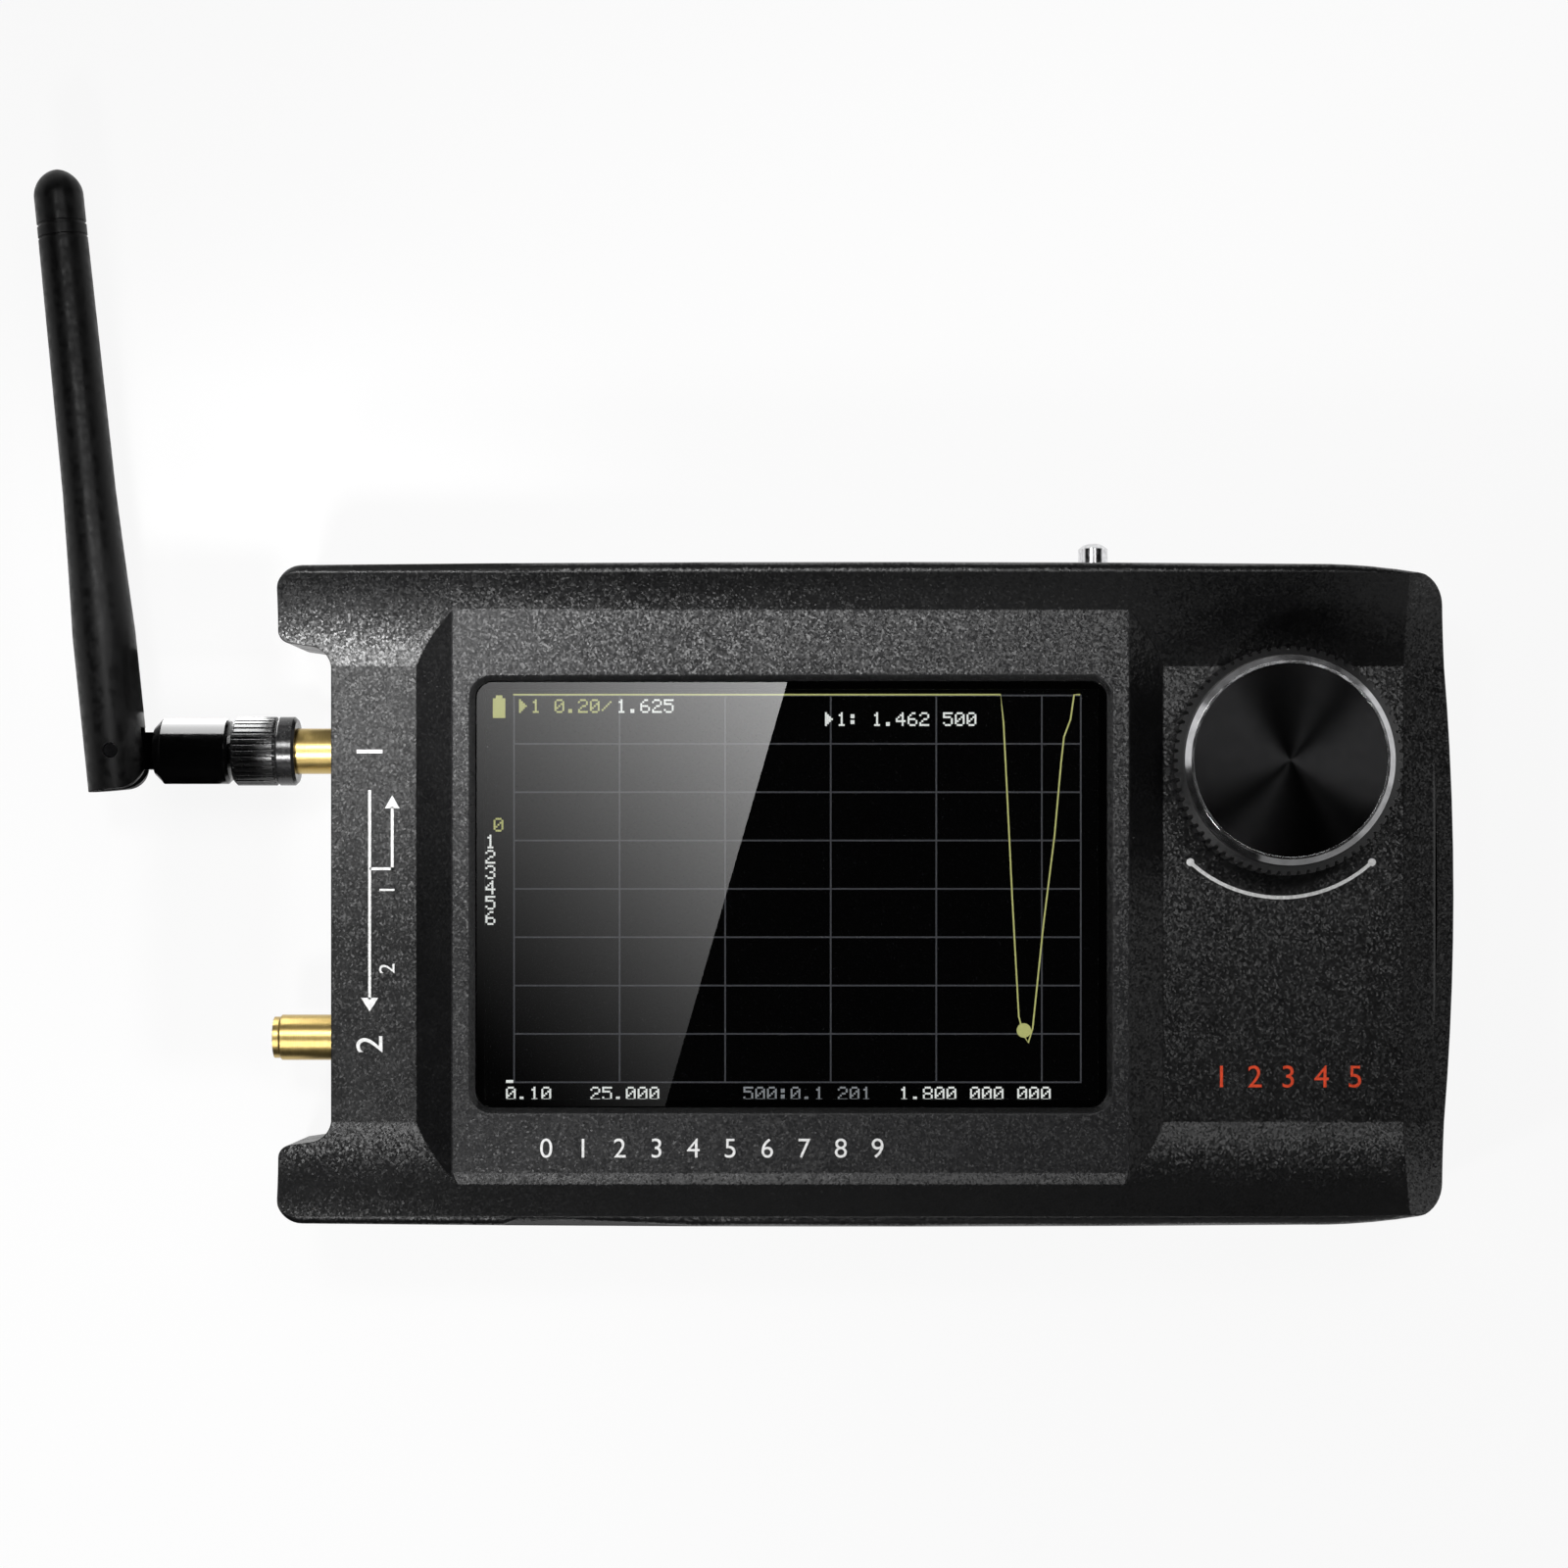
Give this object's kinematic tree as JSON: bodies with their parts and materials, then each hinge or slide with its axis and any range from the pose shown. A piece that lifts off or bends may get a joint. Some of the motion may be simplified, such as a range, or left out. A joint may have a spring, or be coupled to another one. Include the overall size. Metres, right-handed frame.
{
  "type": "antenna analyzer",
  "caption": "Handheld antenna analyzer in a dark moulded case with side rails, a flat display, one large dial, two coaxial ports and a folding whip antenna.",
  "frame": {"origin": "centre of the case's flat back face, on the plane that the case lies on", "axes": "+X runs along the case to the dial end, +Y to the edge with the power button, +Z out of the display"},
  "size_m": [0.1975, 0.1469, 0.0323],
  "materials": {
    "shell": "dark grey moulding with a fine sparkle texture",
    "screen_glass": "clear display glass",
    "display": "lit display panel",
    "gasket": "black adhesive foam",
    "steel": "plain steel",
    "black_steel": "black zinc",
    "gold": "gold plated brass",
    "brass": "brass",
    "ptfe": "white insulator",
    "board": "green solder mask",
    "chip": "black moulded package",
    "foil": "tinned can",
    "wrap": "battery wrap",
    "lead": "battery lead",
    "white_plastic": "natural nylon",
    "knob_black": "black anodised",
    "knob_silver": "polished bevel",
    "knob_face": "spun grey anodised",
    "button": "bright button",
    "key": "black key",
    "whip": "satin black moulding",
    "elbow": "glossy black",
    "nut": "black nickel"
  },
  "bodies": {
    "case": {"front_shell": "shell", "back_shell": "shell", "case_screws": "black_steel", "thread_inserts": "brass", "lens": "screen_glass", "lens_gasket": "gasket", "lcd_panel": "display", "lcd_tray": "steel", "lcd_ribbon": "chip", "lcd_socket": "white_plastic", "main_board": "board", "board_screws": "steel", "processor": "chip", "synthesizer": "chip", "crystal": "foil", "rf_shield_1": "foil", "rf_shield_2": "foil", "port_1_jack": "gold", "port_1_insulator": "ptfe", "port_1_contact": "gold", "port_2_jack": "gold", "port_2_insulator": "ptfe", "port_2_contact": "gold", "battery_cell": "wrap", "battery_pad": "gasket", "battery_lead": "lead", "battery_plug": "white_plastic", "battery_socket": "white_plastic", "usb_socket": "steel", "usb_tongue": "chip", "encoder_body": "chip", "encoder_bushing": "brass", "encoder_washer": "steel", "encoder_nut": "steel", "power_switch_body": "chip", "key_switch_body": "chip"},
    "dial_carrier": {"encoder_plunger": "white_plastic"},
    "dial": {"encoder_shaft": "steel", "dial_knob": "knob_black", "dial_rim": "knob_silver", "dial_face": "knob_face", "dial_grub_screw": "black_steel"},
    "power_key": {"power_button": "button"},
    "lower_key": {"side_key": "key"},
    "plug": {"antenna_ferrule": "nut", "antenna_insulator": "ptfe", "antenna_contact": "gold", "nut_snap_ring": "steel"},
    "nut": {"antenna_nut": "nut"},
    "elbow": {"antenna_elbow": "elbow", "hinge_pin": "black_steel"},
    "blade": {"antenna_sleeve": "whip", "antenna_cap": "whip", "antenna_radiator": "brass", "antenna_core": "ptfe"}
  },
  "joints": [
    {"name": "dial_press", "type": "slide", "parent": "case", "child": "dial_carrier", "axis": [0, 0, -1], "range_m": [0, 0.0005], "stiffness_N_per_m": 2500, "springref_m": -0.0005},
    {"name": "dial_turn", "type": "hinge", "parent": "dial_carrier", "child": "dial", "pos_m": [0.0572, 0.018, 0.0221], "axis": [0, 0, 1], "continuous": true},
    {"name": "power_press", "type": "slide", "parent": "case", "child": "power_key", "axis": [0, -1, 0], "range_m": [0, 0.001], "stiffness_N_per_m": 1500, "springref_m": -0.0005},
    {"name": "key_press", "type": "slide", "parent": "case", "child": "lower_key", "axis": [0, 1, 0], "range_m": [0, 0.0003], "stiffness_N_per_m": 2500, "springref_m": -0.0003},
    {"name": "antenna_unscrew", "type": "slide", "parent": "case", "child": "plug", "axis": [-1, 0, 0], "range_m": [0, 0.00353]},
    {"name": "nut_turn", "type": "hinge", "parent": "plug", "child": "nut", "pos_m": [-0.0835, 0.02, 0.011], "axis": [-1, 0, 0], "range_deg": [0, 1800]},
    {"name": "antenna_swivel", "type": "hinge", "parent": "plug", "child": "elbow", "pos_m": [-0.0935, 0.02, 0.011], "axis": [1, 0, 0], "continuous": true},
    {"name": "antenna_fold", "type": "hinge", "parent": "elbow", "child": "blade", "pos_m": [-0.10465, 0.02, 0.011], "axis": [0, 0, 1], "range_deg": [-5.9, 84.1]}
  ],
  "couplings": [
    {"joint": "nut_turn", "follows": "antenna_unscrew", "rad_per_m": 8905.2}
  ]
}
